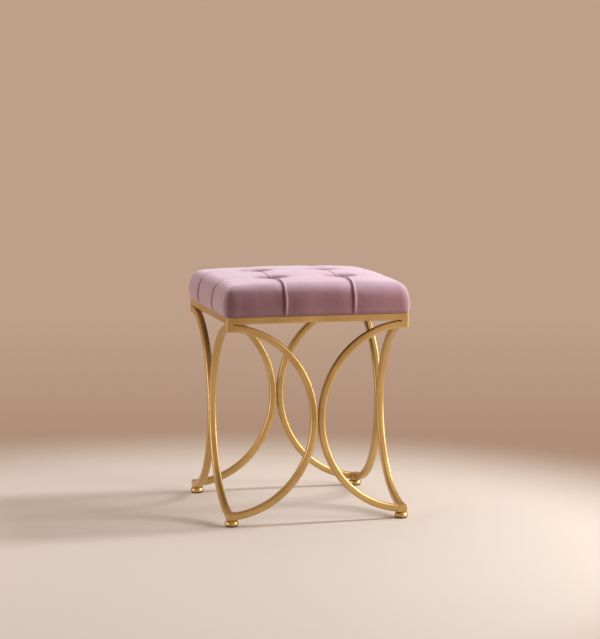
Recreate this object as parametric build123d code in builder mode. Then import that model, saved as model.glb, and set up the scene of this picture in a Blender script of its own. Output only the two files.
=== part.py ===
from build123d import *

import math
import os

# Overall sizes, in millimetres
frame_width = 360.0
frame_depth = 360.0
rail_top_height = 405.0
cushion_height = 65.0

# Square steel tube of the rails, posts and leg arcs; the bent arcs have rounder edges
tube_size = 14.0
tube_wall = 1.2
tube_edge_radius = 2.0
arc_edge_radius = 4.0
post_margin = 1.0
arc_weld_gap = 0.6
arc_weld_height = 34.0
arc_weld_setback = 3.0
edge_tolerance = 0.1

# Solid blocks where the arcs meet at the feet, tapped for the glides
foot_block_size = 20.0
foot_block_height = 14.0
foot_block_cap = 1.5
thread_radius = 4.0
thread_clearance = 0.05

# Levelling glides: a nylon floor pad that stays put, a metal bun that turns on it, and a stud
pad_radius = 11.7
pad_height = 2.2
pad_gap = 0.1
pad_edge_radius = 0.8
spigot_radius = 3.0
spigot_height = 5.0
spigot_clearance = 0.05
bun_radius = 13.5
bun_foot_radius = 12.2
bun_top_radius = 9.3
bun_height = 9.5
bun_waist_height = 3.0
bun_gap = 0.2
bun_web = 0.8
stud_tip_gap = 1.0

# Corner tabs welded inside the rails, and what fastens the seat to them
tab_thickness = 3.0
tab_leg = 48.0
tab_corner_radius = 3.0
screw_inset = 16.0
screw_radius = 2.45
screw_hole_radius = 2.75
screw_head_radius = 4.6
screw_head_height = 2.8
screw_head_edge_radius = 1.4
screw_grip = 9.0
insert_radius = 4.0
insert_clearance = 0.05
insert_length = 10.0

# Seat board, hem and dust cover
board_thickness = 12.0
board_corner_radius = 18.0
hem_thickness = 1.5
hem_width = 16.0
hem_corner_radius = 4.0
dust_cover_thickness = 0.8
staple_width = 10.0
staple_wire = 0.6
staple_leg = 5.0
staple_inset = 5.0
staples_per_side = 6

# Cushion form
cushion_overhang = 2.5
side_lean = 3.0
crown_radius = 3300.0
shoulder_radius = 20.0
corner_margin = 3.0
cover_thickness = 1.8
soft_gap = 0.3

# Sewn seams and tufts
tuft_spacing_x = 136.0
tuft_spacing_y = 136.0
seam_depth = 4.0
seam_half_width = 10.0
seam_lift = 3.0
seam_swell = 1.5
tuft_depth = 20.0
tuft_lift = 10.0
tuft_mouth_reach = 51.0
tuft_waist_depth = 7.0
tuft_waist_reach = 23.5
tuft_floor_reach = 13.0
tuft_pinch = 0.32
tuft_floor_pinch = 0.42
tuft_recess_radius = 24.0
button_radius = 6.5
button_height = 4.0
button_rim = 1.6
tie_radius = 0.8
tie_hole_clearance = 0.4
anchor_radius = 6.5
anchor_thickness = 2.0
anchor_clearance = 0.3

# Places worked out from the sizes above
half_x = frame_width / 2
half_y = frame_depth / 2
bun_bottom = pad_height + pad_gap
bun_top = bun_bottom + bun_height
block_bottom = bun_top + bun_gap
block_top = block_bottom + foot_block_height
rail_bottom = rail_top_height - tube_size
arc_middle = (block_bottom + rail_bottom) / 2
arc_rise = (rail_bottom - block_bottom) / 2
board_bottom = rail_top_height + hem_thickness
board_top = board_bottom + board_thickness
crown_height = rail_top_height + cushion_height
board_half_x = half_x + cushion_overhang - seam_depth - cover_thickness
board_half_y = half_y + cushion_overhang - seam_depth - cover_thickness
hem_half_x = board_half_x - hem_width
hem_half_y = board_half_y - hem_width
dust_half_x = hem_half_x - soft_gap
dust_half_y = hem_half_y - soft_gap
tuft_floor = crown_height - tuft_depth
crown_drop = (max(half_x, half_y) - shoulder_radius) ** 2 / (2 * crown_radius)
foam_top = crown_height - crown_drop - seam_depth - cover_thickness
foam_edge_radius = shoulder_radius - seam_depth - cover_thickness
screw_x = half_x - tube_size - screw_inset
screw_y = half_y - tube_size - screw_inset
glide_x = half_x - foot_block_size / 2
glide_y = half_y - foot_block_size / 2

screw_places = [place.position for place in GridLocations(2 * screw_x, 2 * screw_y, 2, 2)]
tuft_places = [place.position for place in GridLocations(tuft_spacing_x, tuft_spacing_y, 2, 2)]

# Each side of the frame: its outer face, its length and the corners at its two ends
sides = {
    "front": (Plane((0, -half_y, 0), x_dir=(1, 0, 0), z_dir=(0, -1, 0)), frame_width, "left", "right"),
    "right": (Plane((half_x, 0, 0), x_dir=(0, 1, 0), z_dir=(1, 0, 0)), frame_depth, "front", "back"),
    "back": (Plane((0, half_y, 0), x_dir=(-1, 0, 0), z_dir=(0, 1, 0)), frame_width, "right", "left"),
    "left": (Plane((-half_x, 0, 0), x_dir=(0, -1, 0), z_dir=(-1, 0, 0)), frame_depth, "back", "front"),
}
corners = {
    "front_left": (-1, -1),
    "front_right": (1, -1),
    "back_right": (1, 1),
    "back_left": (-1, 1),
}

os.makedirs("parts", exist_ok=True)


def arc_band(face, span, end, wall):
    """Flat band of one C-shaped arc, drawn in by a wall all round, between its post and its foot block."""
    reach = (span - arc_weld_gap) / 2
    corner = end * span / 2
    kept = span / 2 - tube_size
    with BuildSketch(face) as band:
        with Locations((corner, arc_middle)):
            Ellipse(reach - wall, arc_rise - wall)
            Ellipse(reach - tube_size + wall, arc_rise - tube_size + wall, mode=Mode.SUBTRACT)
        with Locations((end * kept / 2, arc_middle)):
            Rectangle(kept, 2 * arc_rise, mode=Mode.INTERSECT)
        with Locations((corner - end * foot_block_size / 2, arc_middle - arc_rise / 2)):
            Rectangle(foot_block_size, arc_rise, mode=Mode.SUBTRACT)
    return band.sketch


def outer_edges(part, size):
    """Edges on the two outer faces of a corner piece, apart from those that border its neighbours."""

    def is_outer(edge):
        depth_x = half_x - abs(edge.center().X)
        depth_y = half_y - abs(edge.center().Y)
        return min(depth_x, depth_y) < edge_tolerance and max(depth_x, depth_y) < size - edge_tolerance

    return part.edges().filter_by(is_outer)


def corner_plane(sign_x, sign_y, size, height):
    """Level plane at the centre of a square corner piece."""
    return Plane((sign_x * (half_x - size / 2), sign_y * (half_y - size / 2), height))


def cushion_section(half):
    """Half width, side height, half crown width and crown slope of the cushion in a plane across it."""
    edge = half + cushion_overhang
    lean = math.radians(side_lean)
    slope = math.asin((edge - shoulder_radius) / crown_radius)
    crown_half = edge - shoulder_radius * (math.cos(lean) - math.sin(slope))
    shoulder_rise = shoulder_radius * (math.cos(slope) - math.sin(lean))
    side_top = crown_height - crown_half * math.tan(slope / 2) - shoulder_rise
    return edge, side_top, crown_half, math.degrees(slope)


def seam_line(half):
    """Line of a sewn seam: up one side from below the rail top, over the crown and down the other side."""
    edge, side_top, crown_half, slope = cushion_section(half)
    lean = math.radians(side_lean)
    side_radius = (side_top - rail_top_height) / (2 * math.sin(lean))
    crown_end = (-crown_half, crown_height - crown_half * math.tan(math.radians(slope) / 2))
    turn = 90 - side_lean - slope
    tail_x = edge - seam_depth * math.sin(lean)
    tail_z = rail_top_height - seam_depth * math.cos(lean)
    right_tail = Line((tail_x, tail_z), (edge, rail_top_height))
    right_side = JernArc(right_tail @ 1, right_tail % 1, side_radius, 2 * side_lean)
    right_shoulder = JernArc(right_side @ 1, right_side % 1, shoulder_radius, turn)
    crown = TangentArc(right_shoulder @ 1, crown_end, tangent=right_shoulder % 1)
    left_shoulder = JernArc(crown @ 1, crown % 1, shoulder_radius, turn)
    left_side = JernArc(left_shoulder @ 1, left_shoulder % 1, side_radius, 2 * side_lean)
    Line(left_side @ 1, (-tail_x, tail_z))


def cushion_form():
    """Crowned cushion with its drawn-in sides, sewn tufts and seams, flat where it rests on the rails."""
    edge_x, side_top, *_ = cushion_section(half_x)
    edge_y = cushion_section(half_y)[0]
    half_side = (side_top - rail_top_height) / 2
    swell = half_side * math.tan(math.radians(side_lean))
    with BuildPart() as form:
        for amount in (cushion_height, -half_side - seam_depth):
            with BuildSketch(Plane.XY.offset(rail_top_height + half_side)):
                corner_radius = shoulder_radius + corner_margin
                RectangleRounded(2 * (edge_x + swell), 2 * (edge_y + swell), corner_radius)
            extrude(amount=amount, taper=side_lean)
        with Locations((0, 0, crown_height - crown_radius)):
            Sphere(crown_radius, rotation=(90, 0, 0), mode=Mode.INTERSECT)
        fillet(form.faces().filter_by(GeomType.SPHERE).edges(), shoulder_radius)
        split(bisect_by=Plane.XY.offset(rail_top_height), keep=Keep.TOP)
        for place in tuft_places:
            rings = (
                (crown_height + tuft_lift, tuft_mouth_reach, tuft_pinch),
                (crown_height - tuft_waist_depth, tuft_waist_reach, tuft_pinch),
                (tuft_floor, tuft_floor_reach, tuft_floor_pinch),
            )
            for height, reach, pinch in rings:
                with BuildSketch(Plane(place + Vector(0, 0, height))):
                    with BuildLine():
                        tips = [(reach, 0), (0, reach), (-reach, 0), (0, -reach)]
                        for start, end in zip(tips, tips[1:] + tips[:1]):
                            middle = (pinch * (start[0] + end[0]), pinch * (start[1] + end[1]))
                            ThreePointArc(start, middle, end)
                    make_face()
            loft(ruled=True, mode=Mode.SUBTRACT)
        for sign in (-1, 1):
            seams = (
                (Plane((0, sign * tuft_spacing_y / 2, 0), x_dir=(1, 0, 0), z_dir=(0, -1, 0)), half_x),
                (Plane((sign * tuft_spacing_x / 2, 0, 0), x_dir=(0, 1, 0), z_dir=(1, 0, 0)), half_y),
            )
            for seam_plane, half in seams:
                with BuildLine(seam_plane) as seam:
                    seam_line(half)
                with BuildSketch(Plane(seam.line @ 0, x_dir=-seam_plane.z_dir, z_dir=seam.line % 0)):
                    with BuildLine():
                        right_lip = (seam_half_width, -seam_lift)
                        left_lip = (-seam_half_width, -seam_lift)
                        Line(right_lip, left_lip)
                        SagittaArc(left_lip, (0, seam_depth), -seam_swell)
                        SagittaArc((0, seam_depth), right_lip, -seam_swell)
                    make_face()
                sweep(mode=Mode.SUBTRACT)
    return form.part


def cushion_core(floor, gap):
    """Plain block that the board and foam fill, clear of the seams, with a round recess under each tuft."""
    with BuildPart() as core:
        with BuildSketch(Plane.XY.offset(floor)):
            width = 2 * (board_half_x + gap)
            depth = 2 * (board_half_y + gap)
            RectangleRounded(width, depth, board_corner_radius + gap)
        extrude(amount=foam_top + gap - floor)
        fillet(core.faces().sort_by(Axis.Z)[-1].edges(), foam_edge_radius + gap)
        with BuildSketch(Plane.XY.offset(tuft_floor - cover_thickness + gap)):
            with Locations(tuft_places):
                Circle(tuft_recess_radius - gap)
        extrude(amount=tuft_depth, mode=Mode.SUBTRACT)
    return core.part


# Straight seat rails between the corner posts
for side, (face, span, *_) in sides.items():
    rail_length = span - 2 * tube_size
    start = face.from_local_coords(Vector(-rail_length / 2, rail_top_height - tube_size / 2, -tube_size / 2))
    with BuildPart() as rail:
        with BuildSketch(Plane(start, x_dir=face.z_dir, z_dir=face.x_dir)):
            RectangleRounded(tube_size, tube_size, tube_edge_radius)
            bore = tube_size - 2 * tube_wall
            RectangleRounded(bore, bore, tube_edge_radius - tube_wall, mode=Mode.SUBTRACT)
        extrude(amount=rail_length)
    rail.part.label = f"top_rail_{side}"
    export_step(rail.part, f"parts/top_rail_{side}.step")

# C-shaped leg arcs, two a side, back to back
for side, (face, span, first_end, second_end) in sides.items():
    for end, end_name in ((-1, first_end), (1, second_end)):
        with BuildPart() as arc_bore:
            hollow = arc_band(face.offset(-tube_wall), span, end, tube_wall)
            extrude(hollow, amount=2 * tube_wall - tube_size)
            fillet(arc_bore.edges().filter_by(GeomType.ELLIPSE), arc_edge_radius - tube_wall)
        with BuildPart() as leg_arc:
            extrude(arc_band(face, span, end, 0), amount=-tube_size)
            fillet(leg_arc.edges().filter_by(GeomType.ELLIPSE), arc_edge_radius)
            add(arc_bore.part, mode=Mode.SUBTRACT)
        leg_arc.part.label = f"leg_arc_{side}_{end_name}"
        export_step(leg_arc.part, f"parts/leg_arc_{side}_{end_name}.step")

# Weld metal between the two arcs of each side
for side, (face, span, *_) in sides.items():
    with BuildPart() as centre_weld:
        with BuildSketch(face.offset(-arc_weld_setback)):
            with Locations((0, arc_middle)):
                Rectangle(tube_size, arc_weld_height)
            with Locations((-span / 2, arc_middle), (span / 2, arc_middle)):
                Ellipse((span - arc_weld_gap) / 2, arc_rise, mode=Mode.SUBTRACT)
        extrude(amount=2 * arc_weld_setback - tube_size)
    centre_weld.part.label = f"centre_weld_{side}"
    export_step(centre_weld.part, f"parts/centre_weld_{side}.step")

# Corner posts, which the rails and the tops of the arcs butt against
for corner, (sign_x, sign_y) in corners.items():
    post_bottom = rail_bottom - tube_size - post_margin
    with BuildPart() as corner_post:
        with BuildSketch(corner_plane(sign_x, sign_y, tube_size, post_bottom)):
            Rectangle(tube_size, tube_size)
        extrude(amount=rail_top_height - post_bottom)
        fillet(outer_edges(corner_post, tube_size), tube_edge_radius)
    corner_post.part.label = f"corner_post_{corner}"
    export_step(corner_post.part, f"parts/corner_post_{corner}.step")

# Foot blocks with a blind tapped bore for the glide's stud
for corner, (sign_x, sign_y) in corners.items():
    with BuildPart() as foot_block:
        with BuildSketch(corner_plane(sign_x, sign_y, foot_block_size, block_bottom)):
            Rectangle(foot_block_size, foot_block_size)
        extrude(amount=foot_block_height)
        fillet(outer_edges(foot_block, foot_block_size), tube_edge_radius)
        with BuildSketch(corner_plane(sign_x, sign_y, foot_block_size, block_bottom)):
            Circle(thread_radius)
        extrude(amount=foot_block_height - foot_block_cap, mode=Mode.SUBTRACT)
    foot_block.part.label = f"foot_block_{corner}"
    export_step(foot_block.part, f"parts/foot_block_{corner}.step")

# Corner tabs welded inside the rails, flush with their tops
for corner, (sign_x, sign_y) in corners.items():
    tab_x = sign_x * (half_x - tube_size)
    tab_y = sign_y * (half_y - tube_size)
    with BuildPart() as seat_tab:
        with BuildSketch(Plane.XY.offset(rail_top_height - tab_thickness)) as tab:
            with BuildLine():
                tab_end_x = (tab_x - sign_x * tab_leg, tab_y)
                tab_end_y = (tab_x, tab_y - sign_y * tab_leg)
                Polyline((tab_x, tab_y), tab_end_x, tab_end_y, close=True)
            make_face()
            inner_points = tab.vertices().sort_by_distance((tab_x, tab_y))[1:]
            fillet(inner_points, tab_corner_radius)
            with Locations((sign_x * screw_x, sign_y * screw_y)):
                Circle(screw_hole_radius, mode=Mode.SUBTRACT)
        extrude(amount=tab_thickness)
    seat_tab.part.label = f"seat_tab_{corner}"
    export_step(seat_tab.part, f"parts/seat_tab_{corner}.step")

# Levelling glides: floor pad with its spigot, turning bun, threaded stud
for corner, (sign_x, sign_y) in corners.items():
    foot = (sign_x * glide_x, sign_y * glide_y)
    section = Plane((*foot, 0), x_dir=(1, 0, 0), z_dir=(0, -1, 0))
    axis = Axis((*foot, 0), (0, 0, 1))

    with BuildPart() as floor_pad:
        with BuildSketch(Plane((*foot, 0))):
            Circle(pad_radius)
        extrude(amount=pad_height)
        fillet(floor_pad.edges().group_by(Axis.Z)[0], pad_edge_radius)
        with BuildSketch(Plane((*foot, pad_height))):
            Circle(spigot_radius)
        extrude(amount=spigot_height)
    floor_pad.part.label = f"floor_pad_{corner}"
    export_step(floor_pad.part, f"parts/floor_pad_{corner}.step")

    with BuildPart() as glide_bun:
        with BuildSketch(section):
            with BuildLine():
                socket_radius = spigot_radius + spigot_clearance
                socket_top = pad_height + spigot_height + pad_gap
                stud_bottom = socket_top + bun_web
                waist = (bun_radius, bun_bottom + bun_waist_height)
                Line((socket_radius, bun_bottom), (bun_foot_radius, bun_bottom))
                TangentArc(waist, (bun_foot_radius, bun_bottom), tangent=(0, -1))
                TangentArc(waist, (bun_top_radius, bun_top), tangent=(0, 1))
                stud_radius = thread_radius - thread_clearance
                Polyline(
                    (bun_top_radius, bun_top),
                    (stud_radius, bun_top),
                    (stud_radius, stud_bottom),
                    (0, stud_bottom),
                    (0, socket_top),
                    (socket_radius, socket_top),
                    (socket_radius, bun_bottom),
                )
            make_face()
        revolve(axis=axis)
    glide_bun.part.label = f"glide_bun_{corner}"
    export_step(glide_bun.part, f"parts/glide_bun_{corner}.step")

    with BuildPart() as glide_stud:
        with BuildSketch(Plane((*foot, stud_bottom))):
            Circle(stud_radius)
        extrude(amount=block_top - foot_block_cap - stud_tip_gap - stud_bottom)
        chamfer(glide_stud.edges().group_by(Axis.Z)[-1], stud_tip_gap)
    glide_stud.part.label = f"glide_stud_{corner}"
    export_step(glide_stud.part, f"parts/glide_stud_{corner}.step")

# Plywood seat board with holes for the insert nuts, the tuft ties and their anchors
with BuildPart() as seat_board:
    with BuildSketch(Plane.XY.offset(board_bottom)):
        RectangleRounded(2 * board_half_x, 2 * board_half_y, board_corner_radius)
    extrude(amount=board_thickness)
    with BuildSketch(Plane.XY.offset(board_bottom)):
        with Locations(screw_places):
            Circle(insert_radius)
    extrude(amount=insert_length, mode=Mode.SUBTRACT)
    with BuildSketch(Plane.XY.offset(board_bottom)):
        with Locations(tuft_places):
            Circle(tie_radius + tie_hole_clearance)
    extrude(amount=board_thickness, mode=Mode.SUBTRACT)
    with BuildSketch(Plane.XY.offset(board_bottom)):
        with Locations(tuft_places):
            Circle(anchor_radius + anchor_clearance)
    extrude(amount=anchor_thickness, mode=Mode.SUBTRACT)
seat_board.part.label = "seat_board"
export_step(seat_board.part, "parts/seat_board.step")

# Foam pad on the board, recessed under the tufts
with BuildPart() as foam_pad:
    add(cushion_core(board_top, 0))
    with BuildSketch(Plane.XY.offset(board_top)):
        with Locations(tuft_places):
            Circle(tie_radius + tie_hole_clearance)
    extrude(amount=cushion_height, mode=Mode.SUBTRACT)
foam_pad.part.label = "foam_pad"
export_step(foam_pad.part, "parts/foam_pad.step")

# Velvet cover, quilted onto its wadding and drawn round the board's edge to a hem under it
with BuildPart() as velvet_cover:
    add(cushion_form())
    add(cushion_core(board_bottom, soft_gap), mode=Mode.SUBTRACT)
    with BuildSketch(Plane.XY.offset(rail_top_height)):
        RectangleRounded(2 * hem_half_x, 2 * hem_half_y, hem_corner_radius)
    extrude(amount=hem_thickness, mode=Mode.SUBTRACT)
    with BuildSketch(Plane.XY.offset(board_top)):
        with Locations(tuft_places):
            Circle(tie_radius + tie_hole_clearance)
    extrude(amount=cushion_height, mode=Mode.SUBTRACT)
velvet_cover.part.label = "velvet_cover"
export_step(velvet_cover.part, "parts/velvet_cover.step")

# Covered buttons at the floors of the tufts
with BuildPart() as tuft_buttons:
    for place in tuft_places:
        centre = place + Vector(0, 0, tuft_floor)
        with BuildSketch(Plane(centre, x_dir=(1, 0, 0), z_dir=(0, -1, 0))):
            with BuildLine():
                Polyline((0, button_height), (0, 0), (button_radius, 0), (button_radius, button_rim))
                TangentArc((0, button_height), (button_radius, button_rim), tangent=(1, 0))
            make_face()
        revolve(axis=Axis(centre, (0, 0, 1)))
tuft_buttons.part.label = "tuft_buttons"
export_step(tuft_buttons.part, "parts/tuft_buttons.step")

# Ties from the buttons through foam and board, and the anchors that hold them under the board
with BuildPart() as tuft_ties:
    with BuildSketch(Plane.XY.offset(board_bottom + anchor_thickness)):
        with Locations(tuft_places):
            Circle(tie_radius)
    extrude(amount=tuft_floor - board_bottom - anchor_thickness)
tuft_ties.part.label = "tuft_ties"
export_step(tuft_ties.part, "parts/tuft_ties.step")

with BuildPart() as tie_anchors:
    with BuildSketch(Plane.XY.offset(board_bottom)):
        with Locations(tuft_places):
            Circle(anchor_radius)
    extrude(amount=anchor_thickness)
tie_anchors.part.label = "tie_anchors"
export_step(tie_anchors.part, "parts/tie_anchors.step")

# Insert nuts in the board and the screws that hold the seat to the tabs
with BuildPart() as insert_nuts:
    with BuildSketch(Plane.XY.offset(board_bottom)):
        with Locations(screw_places):
            Circle(insert_radius)
            Circle(screw_radius + insert_clearance, mode=Mode.SUBTRACT)
    extrude(amount=insert_length)
insert_nuts.part.label = "insert_nuts"
export_step(insert_nuts.part, "parts/insert_nuts.step")

with BuildPart() as seat_screws:
    tab_bottom = rail_top_height - tab_thickness
    with BuildSketch(Plane.XY.offset(tab_bottom - screw_head_height)):
        with Locations(screw_places):
            Circle(screw_head_radius)
    extrude(amount=screw_head_height)
    fillet(seat_screws.edges().group_by(Axis.Z)[0], screw_head_edge_radius)
    with BuildSketch(Plane.XY.offset(tab_bottom)):
        with Locations(screw_places):
            Circle(screw_radius)
    extrude(amount=board_bottom + screw_grip - tab_bottom)
seat_screws.part.label = "seat_screws"
export_step(seat_screws.part, "parts/seat_screws.step")

# Dust cover under the board, with holes for the seat screws
with BuildPart() as dust_cover:
    with BuildSketch(Plane.XY.offset(board_bottom - dust_cover_thickness)):
        RectangleRounded(2 * dust_half_x, 2 * dust_half_y, hem_corner_radius - soft_gap)
        with Locations(screw_places):
            Circle(screw_hole_radius, mode=Mode.SUBTRACT)
    extrude(amount=dust_cover_thickness)
dust_cover.part.label = "dust_cover"
export_step(dust_cover.part, "parts/dust_cover.step")

# Staples round the edge of the dust cover, driven up into the board
with BuildPart() as staples:
    for side_name, half_run, half_off in (
        ("front", dust_half_x, dust_half_y),
        ("right", dust_half_y, dust_half_x),
        ("back", dust_half_x, dust_half_y),
        ("left", dust_half_y, dust_half_x),
    ):
        outward = sides[side_name][0].z_dir
        along = sides[side_name][0].x_dir
        pitch = 2 * (half_run - board_corner_radius) / staples_per_side
        for index in range(staples_per_side):
            step = (index - (staples_per_side - 1) / 2) * pitch
            height = board_bottom - dust_cover_thickness - staple_wire
            foot = outward * (half_off - staple_inset) + along * step + Vector(0, 0, height)
            with BuildSketch(Plane(foot, x_dir=along, z_dir=outward)):
                with Locations((0, (staple_wire + staple_leg) / 2)):
                    Rectangle(staple_width, staple_wire + staple_leg)
                with Locations((0, staple_wire + staple_leg / 2)):
                    Rectangle(staple_width - 2 * staple_wire, staple_leg, mode=Mode.SUBTRACT)
            extrude(amount=staple_wire)
staples.part.label = "staples"
export_step(staples.part, "parts/staples.step")
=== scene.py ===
import bpy
import math
import numpy as np
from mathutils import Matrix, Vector, noise
from mathutils.bvhtree import BVHTree
from mathutils.interpolate import poly_3d_calc


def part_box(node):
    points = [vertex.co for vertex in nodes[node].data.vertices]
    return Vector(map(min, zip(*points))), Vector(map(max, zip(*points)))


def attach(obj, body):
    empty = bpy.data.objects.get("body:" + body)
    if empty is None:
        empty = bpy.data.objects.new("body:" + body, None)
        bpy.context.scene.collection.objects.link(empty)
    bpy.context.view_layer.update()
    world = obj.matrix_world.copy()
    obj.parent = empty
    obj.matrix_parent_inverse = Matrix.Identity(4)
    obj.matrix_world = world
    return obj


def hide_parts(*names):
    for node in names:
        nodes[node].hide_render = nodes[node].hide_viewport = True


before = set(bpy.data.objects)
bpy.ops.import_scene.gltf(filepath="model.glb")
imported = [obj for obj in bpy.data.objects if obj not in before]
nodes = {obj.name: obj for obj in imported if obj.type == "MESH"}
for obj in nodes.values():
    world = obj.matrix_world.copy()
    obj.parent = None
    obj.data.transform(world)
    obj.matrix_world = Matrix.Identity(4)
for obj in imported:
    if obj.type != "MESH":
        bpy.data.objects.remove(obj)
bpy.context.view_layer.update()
scene = bpy.context.scene
cornerNames = ("front_left", "front_right", "back_right", "back_left")
sideNames = ("front", "right", "back", "left")


# shader helpers
def srgb(red, green, blue):
    parts = [part / 255 for part in (red, green, blue)]
    linear = [part / 12.92 if part <= 0.04045 else ((part + 0.055) / 1.055) ** 2.4 for part in parts]
    return (*linear, 1.0)


def put(tree, kind, inputs=None, **settings):
    node = tree.nodes.new(kind)
    for name, value in settings.items():
        setattr(node, name, value)
    for name, value in (inputs or {}).items():
        if isinstance(value, bpy.types.NodeSocket):
            tree.links.new(value, node.inputs[name])
        else:
            node.inputs[name].default_value = value
    return node


def startFinish(name, **sockets):
    finish = bpy.data.materials.new(name)
    finish.use_nodes = True
    tree = finish.node_tree
    tree.nodes.clear()
    inputs = {key.replace("_", " "): value for key, value in sockets.items()}
    shader = put(tree, "ShaderNodeBsdfPrincipled", inputs)
    put(tree, "ShaderNodeOutputMaterial", {"Surface": shader.outputs[0]})
    point = put(tree, "ShaderNodeTexCoord").outputs["Object"]
    return finish, tree, shader, point


def wire(tree, shader, **sockets):
    for name, socket in sockets.items():
        tree.links.new(socket, shader.inputs[name.replace("_", " ")])


def splitAxes(tree, vector):
    return put(tree, "ShaderNodeSeparateXYZ", {0: vector}).outputs


def facingUp(tree):
    # 1 on a level top, 0 on an upright side
    return splitAxes(tree, put(tree, "ShaderNodeNewGeometry").outputs["Normal"])[2]


def stretch(tree, point, x, y, z):
    return put(tree, "ShaderNodeMapping", {"Vector": point, "Scale": (x, y, z)}).outputs[0]


def mottle(tree, point, scale, detail=3.0):
    inputs = {"Vector": point, "Scale": scale, "Detail": detail}
    return put(tree, "ShaderNodeTexNoise", inputs).outputs["Fac"]


def cellular(tree, point, scale):
    return put(tree, "ShaderNodeTexVoronoi", {"Vector": point, "Scale": scale}).outputs


def spread(tree, value, low, high, start=0.3, stop=0.7):
    inputs = {"Value": value, "From Min": start, "From Max": stop, "To Min": low, "To Max": high}
    return put(tree, "ShaderNodeMapRange", inputs).outputs[0]


def blendColour(tree, share, first, second):
    return put(tree, "ShaderNodeMix", {0: share, 6: first, 7: second}, data_type="RGBA").outputs[2]


def twoTone(tree, value, look):
    return blendColour(tree, spread(tree, value, 0.0, 1.0), look["dark"], look["light"])


def sums(tree, operation, first, second=0.0):
    return put(tree, "ShaderNodeMath", {0: first, 1: second}, operation=operation).outputs[0]


def scaled(tree, value, factor):
    return sums(tree, "MULTIPLY", value, factor)


def weigh(tree, first, weight, second):
    # weighted mean of two values
    return sums(tree, "ADD", scaled(tree, first, weight), scaled(tree, second, 1 - weight))


def emboss(tree, shader, height, strength, depth):
    bump = put(tree, "ShaderNodeBump", {"Height": height, "Strength": strength, "Distance": depth})
    wire(tree, shader, Normal=bump.outputs[0])


def axisRadius(tree, point, x, y):
    # distance from the nearest of four upright axes at plus and minus x, y
    parts = splitAxes(tree, point)
    offX = sums(tree, "SUBTRACT", sums(tree, "ABSOLUTE", parts[0]), x)
    offY = sums(tree, "SUBTRACT", sums(tree, "ABSOLUTE", parts[1]), y)
    square = sums(tree, "ADD", scaled(tree, offX, offX), scaled(tree, offY, offY))
    return sums(tree, "SQRT", square), offX, offY, parts[2]


def dress(finish, *names):
    for name in names:
        mesh = nodes[name].data
        mesh.materials.clear()
        mesh.materials.append(finish)


def atCorners(piece):
    return [f"{piece}_{corner}" for corner in cornerNames]


def makePiece(name, points, faces, finish, smooth=True):
    mesh = bpy.data.meshes.new(name)
    mesh.from_pydata([tuple(point) for point in points], [], [tuple(face) for face in faces])
    mesh.materials.append(finish)
    mesh.polygons.foreach_set("use_smooth", [smooth] * len(mesh.polygons))
    mesh.validate()
    mesh.update()
    piece = bpy.data.objects.new(name, mesh)
    scene.collection.objects.link(piece)
    return piece


# satin gold of the frame
satinGold = {
    "light": srgb(211, 178, 118),
    "dark": srgb(186, 152, 92),
    "metallic": 0.86,
    "roughness": (0.38, 0.5),
    "coat": 0.2,
    "coatRoughness": 0.32,
    "cloudScale": 11.0,
    "cloudShare": 0.6,  # the rest of the wear follows the brush marks
    "grainScale": 900.0,
    "brushScale": 300.0,
    "brushStretch": 0.12,
    "bump": (0.12, 0.0002),  # strength and depth
}
tabGold = {**satinGold, "dark": srgb(164, 130, 76), "cloudScale": 40.0}


def goldFinish(name, look):
    finish, tree, shader, point = startFinish(
        name, Metallic=look["metallic"], Coat_Weight=look["coat"], Coat_Roughness=look["coatRoughness"],
    )
    cloud = mottle(tree, point, look["cloudScale"], detail=4.0)
    grain = mottle(tree, point, look["grainScale"], detail=2.0)
    along = stretch(tree, point, 1, 1, look["brushStretch"])
    brushed = mottle(tree, along, look["brushScale"], detail=2.0)
    worn = spread(tree, weigh(tree, cloud, look["cloudShare"], brushed), *look["roughness"])
    wire(tree, shader, Base_Color=twoTone(tree, cloud, look), Roughness=worn)
    emboss(tree, shader, grain, *look["bump"])
    return finish, tree, shader, point


frameNodes = [f"top_rail_{side}" for side in sideNames]
frameNodes += [f"centre_weld_{side}" for side in sideNames]
frameNodes += atCorners("corner_post") + atCorners("foot_block")
frameNodes += [name for name in nodes if name.startswith("leg_arc_")]
dress(goldFinish("satinGold", satinGold)[0], *frameNodes)
dress(goldFinish("tabGold", tabGold)[0], *atCorners("seat_tab"))
print("gold frame dressed:", len(frameNodes), "nodes")

# turned gold glides with zinc studs and nylon floor pads
glide = {
    "roughness": (0.34, 0.46),
    "ringPitch": 0.0007,
    "ringBump": (0.25, 0.00003),
}
zinc = {
    "light": srgb(176, 178, 176),
    "dark": srgb(128, 131, 134),
    "roughness": (0.28, 0.46),
    "spangleScale": 600.0,
    "cloudScale": 90.0,
    "cloudShare": 0.7,
    "grainScale": 2500.0,
    "bump": (0.15, 0.00005),
}
nylon = {
    "light": srgb(62, 57, 52),
    "dark": srgb(30, 27, 25),
    "roughness": (0.45, 0.68),
    "specular": 0.4,
    "cloudScale": 260.0,
    "scuffScale": 900.0,
    "scuffStretch": 0.15,
    "bump": (0.2, 0.0001),
}
glideLow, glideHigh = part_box("glide_bun_front_right")
glideAt = (glideLow + glideHigh) / 2


def glideFinish():
    finish, tree, shader, point = goldFinish("glideGold", {**satinGold, "roughness": glide["roughness"]})
    radius, _, _, height = axisRadius(tree, point, abs(glideAt.x), abs(glideAt.y))
    turns = scaled(tree, sums(tree, "ADD", radius, height), 2 * math.pi / glide["ringPitch"])
    emboss(tree, shader, sums(tree, "SINE", turns), *glide["ringBump"])
    return finish


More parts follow.
